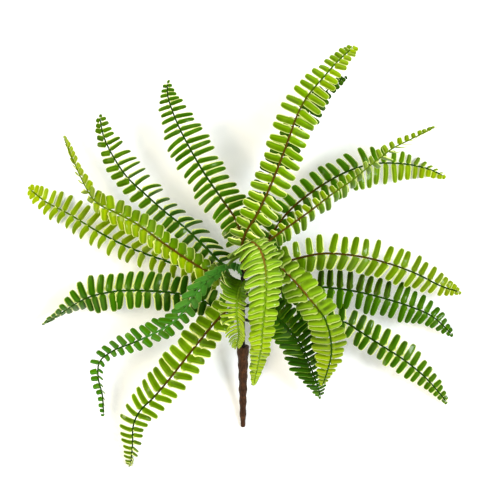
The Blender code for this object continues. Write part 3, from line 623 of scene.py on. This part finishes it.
def frond_tree():
    """The tree that grows a frond along its rib line: a tapering rib and two rows of leaflets."""
    tree = bpy.data.node_groups.new("Frond", "GeometryNodeTree")
    tree.is_modifier = True
    for kind, names in FROND_INPUTS.items():
        for name in names:
            tree.interface.new_socket(name, in_out="INPUT", socket_type=kind)
    tree.interface.new_socket("Frond", in_out="OUTPUT", socket_type="NodeSocketGeometry")
    g = Graph(tree)
    given = g.node("NodeGroupInput")

    def sample(distance):
        """Place, forward and up on the rib at a distance along it."""
        node = g.node(
            "GeometryNodeSampleCurve", {"data_type": "FLOAT_VECTOR", "mode": "LENGTH"},
            {"Curves": line, "Value": stored("up", "FLOAT_VECTOR"), "Length": distance})
        forward = node["Tangent"].unit()
        up = node["Value"]
        return node["Position"], forward, (up - forward * forward.dot(up)).unit()

    def store(geometry, name, value):
        kind = "FLOAT_VECTOR" if is_vector(value) else "FLOAT"
        return g.node(
            "GeometryNodeStoreNamedAttribute", {"data_type": kind, "domain": "POINT"},
            {"Geometry": geometry, "Name": name, "Value": value})["Geometry"]

    def stored(name, kind="FLOAT"):
        return g.node("GeometryNodeInputNamedAttribute", {"data_type": kind}, {"Name": name})["Attribute"]

    def raised(place, floor):
        """The place, or the one above it that is as high as the floor."""
        x, y, z = place.parts()
        return g.vector(x, y, z.most(floor))

    index = g.node("GeometryNodeInputIndex")["Index"]

    def chance(low, high, step):
        """A random number for each leaflet."""
        return g.node(
            "FunctionNodeRandomValue", {"data_type": "FLOAT"},
            {"Min": low, "Max": high, "ID": index, "Seed": given["Seed"] * 10 + step})["Value"]

    line = g.node("GeometryNodeMeshToCurve", {}, {"Mesh": given["Rib line"]})["Curve"]
    length = g.node("GeometryNodeCurveLength", {}, {"Curve": line})["Length"]
    pairs = given["Pairs"]
    bare = given["Bare stalk"]
    crowding = given["Crowding"]

    # Where each leaflet stands
    pair = (index / 2).floor()
    side = (index - pair * 2) * 2 - 1
    last = (index + 0.5 - pairs * 2).most(0.0) * 2
    side = side + last * (1 - side)
    t = (pair / (pairs - 1)).least(1.0)

    def edge(count):
        share = count / pairs
        return bare + (length - bare) * (share * (1 + crowding) - crowding * share**CROWDING_POWER)

    start = edge(pair.least(pairs - 1))
    pitch = edge(pair.least(pairs - 1) + 1) - start
    shift = chance(-PLACE_SPREAD, PLACE_SPREAD, 1) + side * STAGGER / 2
    distance = start + pitch * (LEAF_ROOT_AT + shift)
    distance = distance + (length - distance) * last
    place, forward, up = sample(distance)
    right = forward.cross(up)
    on_right = side * 0.5 + 0.5

    # Which way it points
    def varied(label):
        """A value that runs from base to tip, and differs from left to right."""
        sides = []
        for spots in (PLACES[:3], PLACES[3:]):
            base, middle, tip = (given[f"{label} {spot}"] for spot in spots)
            sides.append((t * 2).least(1.0).between(base, middle) + (t * 2 - 1).most(0.0) * (tip - middle))
        return on_right.between(*sides)

    lean = last.between(varied("lean") + chance(-LEAN_SPREAD, LEAN_SPREAD, 2), END_LEAN)
    rise = given["Rise"]
    out = (right * (side * rise.cos()) + up * rise.sin()) * lean.cos() + forward * lean.sin()
    across = (forward - out * forward.dot(out)).unit()
    face = out.cross(across) * side
    twist = varied("twist") + chance(-TWIST_SPREAD, TWIST_SPREAD, 3)
    turned = across * twist.cos() + face * twist.sin()
    faced = face * twist.cos() - across * twist.sin()

    # How large it is
    share = (t * LEAF_GROWTH + given["First leaflet"]).least(1.0)
    share = share.least(given["Tip leaflet"] + given["Shortening"] * (1 - t))
    share = last.between(share * chance(1 - LENGTH_SPREAD, 1 + LENGTH_SPREAD, 4), END_LENGTH)
    size = on_right.between(given["Left leaflet"], given["Right leaflet"]) * share
    mean = (length - bare) / pairs
    width = (mean + (pitch - mean) * WIDTH_FROM_PITCH) * varied("wide") * last.between(1.0, END_WIDTH)
    rib_half = (distance / length).between(given["Rib width"], given["Rib tip width"]) / 2
    curl = given["Curl"] + chance(-CURL_SPREAD, CURL_SPREAD, 5)
    hook = varied("hook")
    foot = on_right.between(given["Left foot"], given["Right foot"])

    # One flat leaflet with two skins, for all of them
    cells = given["Cells along"] + 1, given["Cells across"] + 1
    blank = g.node(
        "GeometryNodeMeshCube", {},
        {"Size": (1.0, 2.0, 2.0), "Vertices X": cells[0], "Vertices Y": cells[1], "Vertices Z": 2})["Mesh"]
    x, y, z = g.node("GeometryNodeInputPosition")["Position"].parts()
    blank = store(blank, "out", 0.5 - 0.5 * ((x + 0.5) * math.pi).cos())
    blank = store(blank, "across", y)
    blank = store(blank, "skin", z)
    points = g.node("GeometryNodePoints", {}, {"Count": pairs * 2 + 1})[0]
    held = {
        "along": t, "chance": chance(0.0, 1.0, 6), "hand": on_right,
        "leaf_root": place + right * side * rib_half * ROOT_INSET, "leaf_out": out,
        "leaf_turned": turned, "leaf_face": faced,
        "leaf_size": g.vector(size, width, side), "leaf_bend": g.vector(curl, hook, foot),
    }
    for name, value in held.items():
        points = store(points, name, value)
    leaves = g.node("GeometryNodeInstanceOnPoints", {}, {"Points": points, "Instance": blank})["Instances"]
    leaves = g.node("GeometryNodeRealizeInstances", {}, {"Geometry": leaves})["Geometry"]

    # The leaflet's shape
    u, v, skin = stored("out"), stored("across"), stored("skin")
    long, wide, side = stored("leaf_size", "FLOAT_VECTOR").parts()
    bend, hook, foot = stored("leaf_bend", "FLOAT_VECTOR").parts()
    out, turned, face = (stored(n, "FLOAT_VECTOR") for n in ("leaf_out", "leaf_turned", "leaf_face"))
    v = v * side
    near_root = (1 - u / ROOT_RUN).most(0.0)
    rooted = foot + (1 - foot) * (1 - near_root * near_root).root()
    near_tip = ((u - TIP_FROM) / (1 - TIP_FROM)).most(0.0)
    rounded = TIP_SHARE + (1 - TIP_SHARE) * (1 - near_tip * near_tip).most(0.0).root()
    lobe = 1 + given["Ear"] * v.most(0.0) * (1 - u.smooth(*EAR_FADE)) * u.smooth(*EAR_RISE)
    half = rooted * rounded * (1 - TAPER * u) * lobe
    reach = v * half
    folded = (reach - CREST).most(0.0)
    fold = given["Fold"]
    sideways = (reach - folded + folded * fold.cos()) * wide / 2
    lift = -(folded * fold.sin()) * wide / 2
    angle = bend * u
    run = u - bend * bend * u * u * u / 6
    drop = bend * u * u / 2
    bent = face * angle.cos() + out * angle.sin()
    skin_lift = skin * given["Thickness"] / 2 * (1 - EDGE_THINNING * v * v)
    place = stored("leaf_root", "FLOAT_VECTOR") + out * (run * long) - face * (drop * long)
    place = place + turned * (sideways + hook * u * u * long / 2) + bent * (lift + skin_lift)
    upright = face.dot((0.0, 0.0, 1.0))
    place = raised(place, TABLE_CLEARANCE + (skin * upright + 1) * given["Thickness"] / 2)
    leaves = g.node("GeometryNodeSetPosition", {}, {"Geometry": leaves, "Position": place})["Geometry"]
    leaves = store(leaves, "across", v)

    # The rib
    tube = g.node(
        "GeometryNodeMeshCylinder", {"fill_type": "NGON"},
        {"Vertices": RIB_SIDES, "Side Segments": RIB_RINGS, "Radius": 1.0, "Depth": 1.0})["Mesh"]
    x, y, z = g.node("GeometryNodeInputPosition")["Position"].parts()
    tube = store(tube, "along", z + 0.5)
    tube = store(tube, "rib", 1.0)
    tube = store(tube, "leaf_ring", g.vector(x, y, 0))
    x, y = stored("leaf_ring", "FLOAT_VECTOR").parts()[:2]
    share = stored("along")
    distance = given["Rib start"] + share * (length - given["Rib start"])
    place, forward, up = sample(distance)
    sleeve = 1 + SLEEVE_SHARE * (1 - (distance - given["Rib start"]).smooth(*SLEEVE_SPAN))
    end = 1 - RIB_END_NARROWING * share.smooth(*RIB_END_SPAN)
    half = share.between(given["Rib width"], given["Rib tip width"]) / 2 * sleeve * end
    thick = half * given["Rib thickness"] / given["Rib width"]
    place = raised(place - forward.cross(up) * (x * half) + up * (y * thick), TABLE_CLEARANCE)
    tube = g.node("GeometryNodeSetPosition", {}, {"Geometry": tube, "Position": place})["Geometry"]

    # Both, smooth but for their sharp edges
    both = g.node("GeometryNodeJoinGeometry", {}, {"Geometry": [leaves, tube]})["Geometry"]
    both = g.node("GeometryNodeSetShadeSmooth", {"domain": "FACE"}, {"Geometry": both})["Geometry"]
    angle = g.node("GeometryNodeInputMeshEdgeAngle")["Unsigned Angle"]
    sharp = g.node(
        "FunctionNodeCompare", {"data_type": "FLOAT", "operation": "GREATER_THAN"},
        {"A": angle, "B": SHARP_EDGE})["Result"]
    both = g.node(
        "GeometryNodeSetShadeSmooth", {"domain": "EDGE"},
        {"Geometry": both, "Selection": sharp, "Shade Smooth": False})["Geometry"]
    both = g.node("GeometryNodeRealizeInstances", {}, {"Geometry": both})["Geometry"]
    both = g.node(
        "GeometryNodeSetMaterial", {}, {"Geometry": both, "Material": given["Material"]})["Geometry"]
    g.node("NodeGroupOutput", {}, {"Frond": both})
    return tree


def grow(name, tree, spec, values):
    """A frond's finished mesh, grown by the tree along its rib line."""
    at, up = rib_line(spec)
    mesh = bpy.data.meshes.new(name)
    mesh.from_pydata(at.tolist(), [(i, i + 1) for i in range(len(at) - 1)], [])
    mesh.attributes.new("up", "FLOAT_VECTOR", "POINT").data.foreach_set("vector", up.ravel())
    obj = new_object(name, mesh)
    grower = obj.modifiers.new("frond", "NODES")
    grower.node_group = tree
    identifiers = {s.name: s.identifier for s in tree.interface.items_tree if s.in_out == "INPUT"}
    for label, value in values.items():
        grower[identifiers[label]] = value
    bpy.context.view_layer.update()
    graph = bpy.context.evaluated_depsgraph_get()
    grown = bpy.data.meshes.new_from_object(obj.evaluated_get(graph))
    obj.modifiers.remove(grower)
    obj.data = grown
    grown.name = name
    for attribute in [a.name for a in grown.attributes if a.name.startswith("leaf_") or a.name == "up"]:
        grown.attributes.remove(grown.attributes[attribute])
    return obj


def plastic(name):
    """A new Principled material and its graph. The shader's own sockets take what is the same all over."""
    material = bpy.data.materials.new(name)
    material.use_nodes = True
    g = Graph(material.node_tree)
    shader = g.node("ShaderNodeBsdfPrincipled")
    g.node("ShaderNodeOutputMaterial", {}, {"Surface": shader["BSDF"]})
    return material, g, shader.node


def noise_at(g, place, scale, detail=2.0, roughness=0.5):
    """A number from 0 to 1 that changes softly from place to place."""
    return g.node(
        "ShaderNodeTexNoise", {},
        {"Vector": place, "Scale": scale, "Detail": detail, "Roughness": roughness})["Fac"]


def feed(g, shader, **values):
    """Links or sets inputs of a shader, named with underscores for spaces."""
    for name, value in values.items():
        socket = shader.inputs[name.replace("_", " ")]
        if isinstance(value, Wire):
            g.tree.links.new(value.socket, socket)
        else:
            socket.default_value = value


def relief(g, height, strength, distance):
    """The normal of a surface that is raised where the height is more."""
    values = {"Strength": strength, "Distance": distance, "Height": height}
    return g.node("ShaderNodeBump", {}, values)["Normal"]


def tone(colour, shade=1.0):
    """A setting's colour, made darker or lighter, as a socket takes it."""
    return (*(min(1.0, c * shade) for c in colour), 1.0)


# The leaf plastic. Places across a leaflet run from -1 at its edge towards the stem to 1 at its edge
# towards the tip, and places out from 0 at its root to 1 at its end. A pair of numbers is where a change
# begins and where it is complete. A band is the place of its middle, then the distances from there at which
# it starts to fade and has faded
PATCH_SCALE = 55.0
GRAIN_SCALE = 420.0
WARM_PATCHES = (0.42, 0.7)
WARM_LEAFLETS = 0.5
WARMTH = 0.22
WARMTH_OF_DEEP_GREENS = 0.1
DEEP_GREENS = ("mid_green_leaf", "dark_leaf")
# Painted highlight along the crest of each leaflet
PAINTED_CREST_BAND = (0.3, 0.05, 0.35)
PAINTED_CREST_HIGHLIGHT = 1.5
PAINTED_CREST_STRENGTH = 0.4
# Painted shade on the strip folded down along each leaflet's tipward edge
PAINTED_FOLD_SHADE_BAND = (0.58, 0.03, 0.14)
PAINTED_FOLD_SHADE = 0.45
PAINTED_FOLD_SHADE_STRENGTH = 0.4
# Painted shade on the shaded side of each leaflet, at the place across it that each frond gives
SHADE_REACH = (0.1, 0.75)
SHADE_OUT = (0.04, 0.25)
SHADE_PATCHES = (0.3, 0.6)
SHADE_LEAST = 0.6
SHADE_DARK = 0.38
STRONG_SHADE = 0.9
ROOT_SPAN = (0.0, 0.16)
ROOT_DARK = 0.4
ROOT_STRENGTH = 0.45
# Pale margins, ends and root lobes: partly the plastic's paler edges, partly painted highlight
MARGIN_SPAN = (0.62, 0.9)
BACK_MARGIN_SPAN = (0.75, 0.97)
BACK_MARGIN_STRENGTH = 0.7
END_SPAN = (0.93, 1.0)
END_STRENGTH = 0.5
LOBE_OUT = (0.1, 0.3)
LOBE_ACROSS = (0.4, 0.85)
LOBE_STRENGTH = 0.6
# The dark fronds' margins, partly painted highlight, take the light green
DEEP_EDGE_LIGHT = 1.2
LEAST_VALUE = 0.8
LEAFLET_VALUE = 0.3
GRAIN_VALUE = 0.2
RIB_TIP_DARK = 0.7
RIB_GRAIN = (0.45, 0.7)
RIB_GRAIN_DARK = 0.4
RIB_GRAIN_STRENGTH = 0.5
VEINS = 9.0
VEIN_SLANT = 1.1
VEIN_HEIGHT = 0.35
GRAIN_HEIGHT = 0.6
MIDRIB_BAND = (-0.05, 0.05, 0.22)
MIDRIB_DEPTH = 0.8
GRAIN_ROUGHNESS = 0.12
RIB_ROUGHNESS = 0.4
COAT_PATCHES = (0.5, 0.68)
COAT = 0.4


def leaf_plastic(name, spec, plastics):
    """The plastic of a frond: its greens with painted highlight and shade, the pale edges and veins of its
    leaflets, and its rib.
    """
    material, g, shader = plastic(name)

    def attribute(label):
        return g.node("ShaderNodeAttribute", {"attribute_name": label})["Fac"]

    def green(label, shade=1.0):
        return tone(getattr(plastics, label), shade * spec["shade"])

    def band(at, fading, faded):
        """1 at a place across the leaflet, and 0 away from it."""
        return 1 - abs(across - at).smooth(fading, faded)

    along, out, across, chance, hand, rib = (
        attribute(label) for label in ("along", "out", "across", "chance", "hand", "rib"))
    place = g.node("ShaderNodeTexCoord")["Object"]
    patches = noise_at(g, place, PATCH_SCALE)
    grain = noise_at(g, place, GRAIN_SCALE, 3.0)

    # The green from base to tip, its tint, and warm patches and leaflets
    base, tip, turn_from, turn_to = spec["green"]
    colour = g.mix(along.smooth(turn_from, turn_to), green(base), green(tip))
    other, left_base, left_tip, right_base, right_tip = spec["tint"]
    share = hand.between(along.between(left_base, left_tip), along.between(right_base, right_tip))
    colour = g.mix(share, colour, green(other))
    warmth = WARMTH_OF_DEEP_GREENS if spec["slot"] in DEEP_GREENS else WARMTH
    share = (patches.smooth(*WARM_PATCHES) + chance * WARM_LEAFLETS) * warmth
    colour = g.mix(share, colour, green("warm"))

    # Painted highlight on the crest, painted shade by the fold and on the shaded side, and darker at the
    # root
    colour = g.mix(band(*PAINTED_CREST_BAND) * PAINTED_CREST_STRENGTH, colour, green(base, PAINTED_CREST_HIGHLIGHT))
    at, strength = spec["side"]
    shade = band(at, *SHADE_REACH) * out.smooth(*SHADE_OUT)
    shade = shade * patches.smooth(*SHADE_PATCHES).between(SHADE_LEAST, 1.0) * strength
    colour = g.mix(shade, colour, green(base, SHADE_DARK))
    colour = g.mix(band(*PAINTED_FOLD_SHADE_BAND) * PAINTED_FOLD_SHADE_STRENGTH, colour, green(base, PAINTED_FOLD_SHADE))
    root = 1 - out.smooth(*ROOT_SPAN)
    colour = g.mix(root * ROOT_STRENGTH, colour, green(base, ROOT_DARK))

    # Pale margins, ends and lobes, partly the plastic's paler edges and partly painted highlight. A
    # strongly shaded side has no pale edge
    margin = across.smooth(*MARGIN_SPAN)
    if strength < STRONG_SHADE:
        margin = margin.most((-across).smooth(*BACK_MARGIN_SPAN) * BACK_MARGIN_STRENGTH)
    margin = margin.most(out.smooth(*END_SPAN) * END_STRENGTH)
    lobe = (1 - out.smooth(*LOBE_OUT)) * across.smooth(*LOBE_ACROSS) * LOBE_STRENGTH
    edge = green("light", DEEP_EDGE_LIGHT) if spec["slot"] == "dark_leaf" else tone(plastics.margin)
    colour = g.mix(margin.most(lobe) * spec["pale"], colour, edge)
    value = LEAST_VALUE + LEAFLET_VALUE * chance + GRAIN_VALUE * (grain - 0.5)
    colour = g.node("ShaderNodeHueSaturation", {}, {"Value": value, "Color": colour})["Color"]

    # The rib, and the relief of veins, grain and midrib
    rib_base, rib_tip, rib_from, rib_to = spec["rib_colour"]
    rib_colour = g.mix(along.smooth(rib_from, rib_to), green(rib_base), green(rib_tip, RIB_TIP_DARK))
    share = grain.smooth(*RIB_GRAIN) * RIB_GRAIN_STRENGTH
    rib_colour = g.mix(share, rib_colour, green("brown", RIB_GRAIN_DARK))
    colour = g.mix(rib, colour, rib_colour)
    veins = ((out * VEINS - abs(across) * VEIN_SLANT) * (2 * math.pi)).sin()
    height = veins * (1 - rib) * VEIN_HEIGHT + grain * GRAIN_HEIGHT - band(*MIDRIB_BAND) * MIDRIB_DEPTH
    feed(
        g, shader, Base_Color=colour,
        Roughness=plastics.gloss + GRAIN_ROUGHNESS * grain + RIB_ROUGHNESS * rib,
        Normal=relief(g, height, 0.35, 0.0002),
        Specular_IOR_Level=0.3, Specular_Tint=tone(plastics.sheen),
        Coat_Weight=patches.smooth(*COAT_PATCHES) * (1 - rib) * COAT, Coat_Roughness=0.1)
    return material


def frond_values(number, spec, material, leaflets):
    """The tree's inputs for one frond, in metres and radians."""
    values = {
        f"{label} {place}": amount if label == "wide" else math.radians(amount)
        for label in VARIED for place, amount in zip(PLACES, spec[label])}
    return values | {
        "Pairs": spec["pairs"], "Bare stalk": spec["bare"] * MM, "Crowding": spec["crowding"],
        "Left leaflet": spec["leaf"][0] * MM, "Right leaflet": spec["leaf"][1] * MM,
        "Thickness": leaflets.thickness, "Rise": leaflets.rise, "Curl": math.radians(spec["curl"]),
        "First leaflet": spec["taper"][0], "Tip leaflet": spec["taper"][1], "Shortening": spec["taper"][2],
        "Left foot": spec["root"][0], "Right foot": spec["root"][1],
        "Fold": leaflets.fold, "Ear": leaflets.ear,
        "Cells along": leaflets.cells_along, "Cells across": leaflets.cells_across,
        "Rib width": leaflets.rib_width, "Rib tip width": leaflets.rib_tip_width,
        "Rib thickness": leaflets.rib_thickness, "Rib start": RIB_START, "Seed": number,
        "Material": material,
    }


class SPRAY_OT_fronds(bpy.types.Operator):
    """Grow the eighteen fronds along their ribs"""

    bl_idname = "fern_spray.fronds"
    bl_label = "Grow fronds"

    def execute(self, context):
        settings = context.scene.fern_spray
        tree = frond_tree()
        for number, (name, spec) in enumerate(FRONDS.items(), 1):
            material = leaf_plastic(f"leaf_{number:02d}", spec, settings.plastics)
            values = frond_values(number, spec, material, settings.leaflets)
            grown = grow(f"grown_{name}", tree, spec, values)
            if not grown.data.polygons:
                raise RuntimeError(f"{name} did not grow")
            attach(grown, "root")
            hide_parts(name)
            spec["slot"]
        bpy.data.node_groups.remove(tree)
        return {"FINISHED"}


def turned_mesh(name, outline, sides, start, direction, shape=None):
    """A closed mesh turned along a direction from (radius, distance) rows, from one pole to the other.

    Shape gives what is added to a point's radius, from its angle, row and distance.
    """
    bm = bmesh.new()
    rings = []
    for row, (radius, along) in enumerate(outline):
        if radius == 0:
            rings.append([bm.verts.new((0, 0, along))])
            continue
        ring = []
        for k in range(sides):
            angle = 2 * math.pi * k / sides
            r = radius + (shape(angle, row, along) if shape else 0)
            ring.append(bm.verts.new((r * math.cos(angle), r * math.sin(angle), along)))
        rings.append(ring)
    for a, b in zip(rings, rings[1:]):
        for k in range(sides):
            n = (k + 1) % sides
            corners = [a[k % len(a)], b[k % len(b)], b[n % len(b)], a[n % len(a)]]
            bm.faces.new(list(dict.fromkeys(corners)))
    turn = Vector((0, 0, 1)).rotation_difference(Vector(direction)).to_matrix().to_4x4()
    bmesh.ops.transform(bm, matrix=Matrix.Translation(start) @ turn, verts=bm.verts)
    bmesh.ops.recalc_face_normals(bm, faces=bm.faces)
    for face in bm.faces:
        face.smooth = True
    mesh = bpy.data.meshes.new(name)
    bm.to_mesh(mesh)
    bm.free()
    return mesh


def pick_plastic(plastics):
    """Dark brown moulded plastic, lighter in soft patches."""
    material, g, shader = plastic("pick_plastic")
    place = g.node("ShaderNodeTexCoord")["Object"]
    stretched = g.node("ShaderNodeMapping", {}, {"Vector": place, "Scale": (1.0, 0.3, 0.3)})["Vector"]
    grain = noise_at(g, stretched, 900.0, 4.0, 0.6)
    patches = noise_at(g, place, 160.0)
    deep, brown, light = (tone(plastics.pick, shade) for shade in (0.35, 1.0, 2.2))
    colour = g.mix(grain.smooth(0.35, 0.6), deep, brown)
    colour = g.mix(patches.smooth(0.52, 0.75) * 0.6, colour, light)
    feed(
        g, shader, Base_Color=colour, Roughness=0.42 + 0.2 * patches, Normal=relief(g, grain, 0.6, 0.0004),
        Specular_IOR_Level=0.16)
    return material


class SPRAY_OT_pick(bpy.types.Operator):
    """Turn the bamboo-like pick"""

    bl_idname = "fern_spray.pick"
    bl_label = "Turn pick"

    def execute(self, context):
        settings = context.scene.fern_spray
        size = settings.pick

        def radius(distance):
            share = distance / PICK_LENGTH
            swell = sum(math.exp(-((distance - s) / PICK_SWELLING_REACH) ** 2) for s in PICK_SWELLINGS)
            flare = size.flare / MM * math.exp(-distance / PICK_FLARE_REACH)
            return size.radius / MM - size.taper / MM * share + flare + size.swelling / MM * (swell - 0.5)

        bore = settings.stem.radius / MM + SOCKET_GAP
        lip = radius(0)
        round_start = PICK_LENGTH - PICK_TIP_RADIUS
        outline = [(0, -SOCKET_DEPTH), (bore, -SOCKET_DEPTH), (bore, -0.4), (bore + 0.4, 0)]
        outline += [(lip - 0.5, 0), (lip - 0.1, -0.25)]
        outline += [(radius(d), -d) for d in np.linspace(0.8, round_start, PICK_ROWS)]
        tip = radius(round_start)
        for degrees in (20, 40, 60, 75):
            a = math.radians(degrees)
            outline.append((tip * math.cos(a), -round_start - PICK_TIP_RADIUS * math.sin(a)))
        outline.append((0, -PICK_LENGTH))

        def bark(angle, row, along):
            if row < SMOOTH_MOUTH_ROWS or along < SMOOTH_TIP - PICK_LENGTH:
                return 0
            return sum(
                height * noise.noise((math.cos(angle) * around, math.sin(angle) * around, along * down))
                for around, down, height in BARK)

        mesh = turned_mesh("pick_body", outline, PICK_SIDES, MOUTH, AXIS, bark)
        co = in_scene([v.co for v in mesh.vertices])
        co[:, 2] = np.maximum(co[:, 2], 0.0)
        mesh.vertices.foreach_set("co", co.ravel())
        mesh.update()
        pick = new_object("turned_pick", mesh)
        mesh.materials.append(pick_plastic(settings.plastics))
        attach(pick, "root")
        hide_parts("pick")
        return {"FINISHED"}


def stem_plastic(plastics):
    """Dark plastic of the centre stem, with a fine grain."""
    material, g, shader = plastic("stem_plastic")
    place = g.node("ShaderNodeTexCoord")["Object"]
    grain = noise_at(g, place, 500.0, 3.0)
    patches = noise_at(g, place, 90.0)
    colour = g.mix(patches.smooth(0.4, 0.7), tone(plastics.stem), tone(plastics.stem, 0.5))
    feed(
        g, shader, Base_Color=colour, Roughness=0.35 + 0.2 * grain, Normal=relief(g, grain, 0.3, 0.0003),
        Specular_IOR_Level=0.15)
    return material


class SPRAY_OT_stem(bpy.types.Operator):
    """Turn the centre stem with its collars and pegs"""

    bl_idname = "fern_spray.stem"
    bl_label = "Turn stem"

    def execute(self, context):
        settings = context.scene.fern_spray
        size = settings.stem
        radius = size.radius / MM
        collar = size.collar / MM
        foot = SOCKET_GAP - SOCKET_DEPTH
        seats = [spec["seat"] for spec in FRONDS.values()]

        def body(distance):
            rings = max(math.exp(-((distance - s) / COLLAR_REACH) ** 2) for s in seats)
            return radius + collar * (rings - 0.5) * (distance > COLLARS_FROM) - 0.1

        outline = [(0, foot), (radius * 0.8, foot), (radius, foot + 0.4), (radius, 0.5)]
        outline += [(body(d), d) for d in np.linspace(1.0, STEM_LENGTH - 1.5, STEM_ROWS)]
        outline += [(radius * 0.85, STEM_LENGTH - 0.8), (radius * 0.5, STEM_LENGTH - 0.2), (0, STEM_LENGTH)]
        parts = [turned_mesh("stem_body", outline, STEM_SIDES, MOUTH, AXIS)]
        for spec in FRONDS.values():
            at, _ = rib_line(spec)
            steps = np.linalg.norm(np.diff(at, axis=0), axis=1).cumsum()
            reach = at[int(np.searchsorted(steps, PEG_REACH * MM)) + 1]
            direction = (reach - at[0]) / np.linalg.norm(reach - at[0])
            peg = size.peg_radius / MM
            rows = [(0, 0), (peg * 1.25, 0.2), (peg * 1.15, 2.4), (peg, 3.2), (peg * 0.95, 6.6)]
            rows += [(peg * 0.6, PEG_REACH - 0.2), (0, PEG_REACH)]
            seat = MOUTH + AXIS * spec["seat"]
            parts.append(turned_mesh("peg", rows, PEG_SIDES, seat, direction))
        bm = bmesh.new()
        for part in parts:
            bm.from_mesh(part)
            bpy.data.meshes.remove(part)
        for vert in bm.verts:
            vert.co = in_scene(vert.co)
        mesh = bpy.data.meshes.new("stem_body")
        bm.to_mesh(mesh)
        bm.free()
        mesh.materials.append(stem_plastic(settings.plastics))
        stem = new_object("turned_stem", mesh)
        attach(stem, "root")
        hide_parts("stem")
        return {"FINISHED"}


def aim(obj, place):
    """Puts a light at a place and turns it to the middle of the table."""
    obj.location = place
    obj.rotation_euler = (-Vector(place)).to_track_quat("-Z", "Y").to_euler()


class SPRAY_OT_stage(bpy.types.Operator):
    """Lay the pale table, set the soft lights and the camera"""

    bl_idname = "fern_spray.stage"
    bl_label = "Set stage"

    def execute(self, context):
        settings = context.scene.fern_spray.stage
        scene = context.scene
        mesh = bpy.data.meshes.new("table")
        corners = [(x * TABLE_REACH, y * TABLE_REACH, 0) for x, y in ((-1, -1), (1, -1), (1, 1), (-1, 1))]
        mesh.from_pydata(corners, [], [(0, 1, 2, 3)])
        table = new_object("table", mesh)
        material, g, shader = plastic("table_top")
        grain = noise_at(g, g.node("ShaderNodeTexCoord")["Object"], 3.0)
        colour = g.mix(grain, tone(settings.table), tone(settings.table, 0.985))
        feed(
            g, shader, Base_Color=colour, Roughness=0.9, Specular_IOR_Level=0.1,
            Emission_Color=tone(settings.table), Emission_Strength=settings.glow)
        mesh.materials.append(material)
        for name, side, strength, tint in (
            ("left_light", -1, settings.left_strength, settings.left_colour),
            ("right_light", 1, settings.right_strength, settings.right_colour),
        ):
            light = bpy.data.lights.new(name, "SUN")
            light.energy = strength
            light.angle = settings.softness
            light.color = tint
            aim(new_object(name, light), (side * LIGHT_AT[0], *LIGHT_AT[1:]))
        world = bpy.data.worlds.new("studio")
        scene.world = world
        world.use_nodes = True
        g = Graph(world.node_tree)
        fill = g.node("ShaderNodeBackground", {}, {"Strength": settings.fill})["Background"]
        paper = g.node("ShaderNodeBackground", {}, {"Strength": 1.0})["Background"]
        seen = g.node("ShaderNodeLightPath")["Is Camera Ray"]
        lit = g.node("ShaderNodeMixShader", {}, {0: seen, 1: fill, 2: paper})["Shader"]
        g.node("ShaderNodeOutputWorld", {}, {"Surface": lit})
        scene.view_settings.view_transform = "Standard"
        camera = bpy.data.cameras.new("camera")
        camera.sensor_width = CAMERA_SENSOR
        camera.lens = CAMERA_LENS
        camera.clip_end = CAMERA_CLIP
        view = new_object("camera", camera)
        view.location = CAMERA_AT
        scene.camera = view
        return {"FINISHED"}


class SPRAY_PT_panel(bpy.types.Panel):
    """The spray's steps and settings"""

    bl_idname = "SPRAY_PT_panel"
    bl_label = "Fern spray"
    bl_space_type = "VIEW_3D"
    bl_region_type = "UI"
    bl_category = "Fern spray"

    def draw(self, context):
        settings = context.scene.fern_spray
        for operator in OPERATORS:
            self.layout.operator(operator.bl_idname)
        for label in ("plastics", "leaflets", "pick", "stem", "stage"):
            box = self.layout.box()
            box.label(text=label.capitalize())
            group = getattr(settings, label)
            for prop in group.bl_rna.properties:
                if prop.identifier not in ("rna_type", "name"):
                    box.prop(group, prop.identifier)


OPERATORS = (SPRAY_OT_stage, SPRAY_OT_fronds, SPRAY_OT_pick, SPRAY_OT_stem)
GROUPS = (PlasticSettings, LeafletSettings, PickSettings, StemSettings, StageSettings, SpraySettings)
CLASSES = (*GROUPS, *OPERATORS, SPRAY_PT_panel)


def register():
    for cls in CLASSES:
        bpy.utils.register_class(cls)
    bpy.types.Scene.fern_spray = PointerProperty(type=SpraySettings)


def unregister():
    del bpy.types.Scene.fern_spray
    for cls in reversed(CLASSES):
        bpy.utils.unregister_class(cls)


def main():
    register()
    bpy.ops.fern_spray.stage()
    bpy.ops.fern_spray.fronds()
    bpy.ops.fern_spray.pick()
    bpy.ops.fern_spray.stem()


if __name__ == "__main__":
    main()
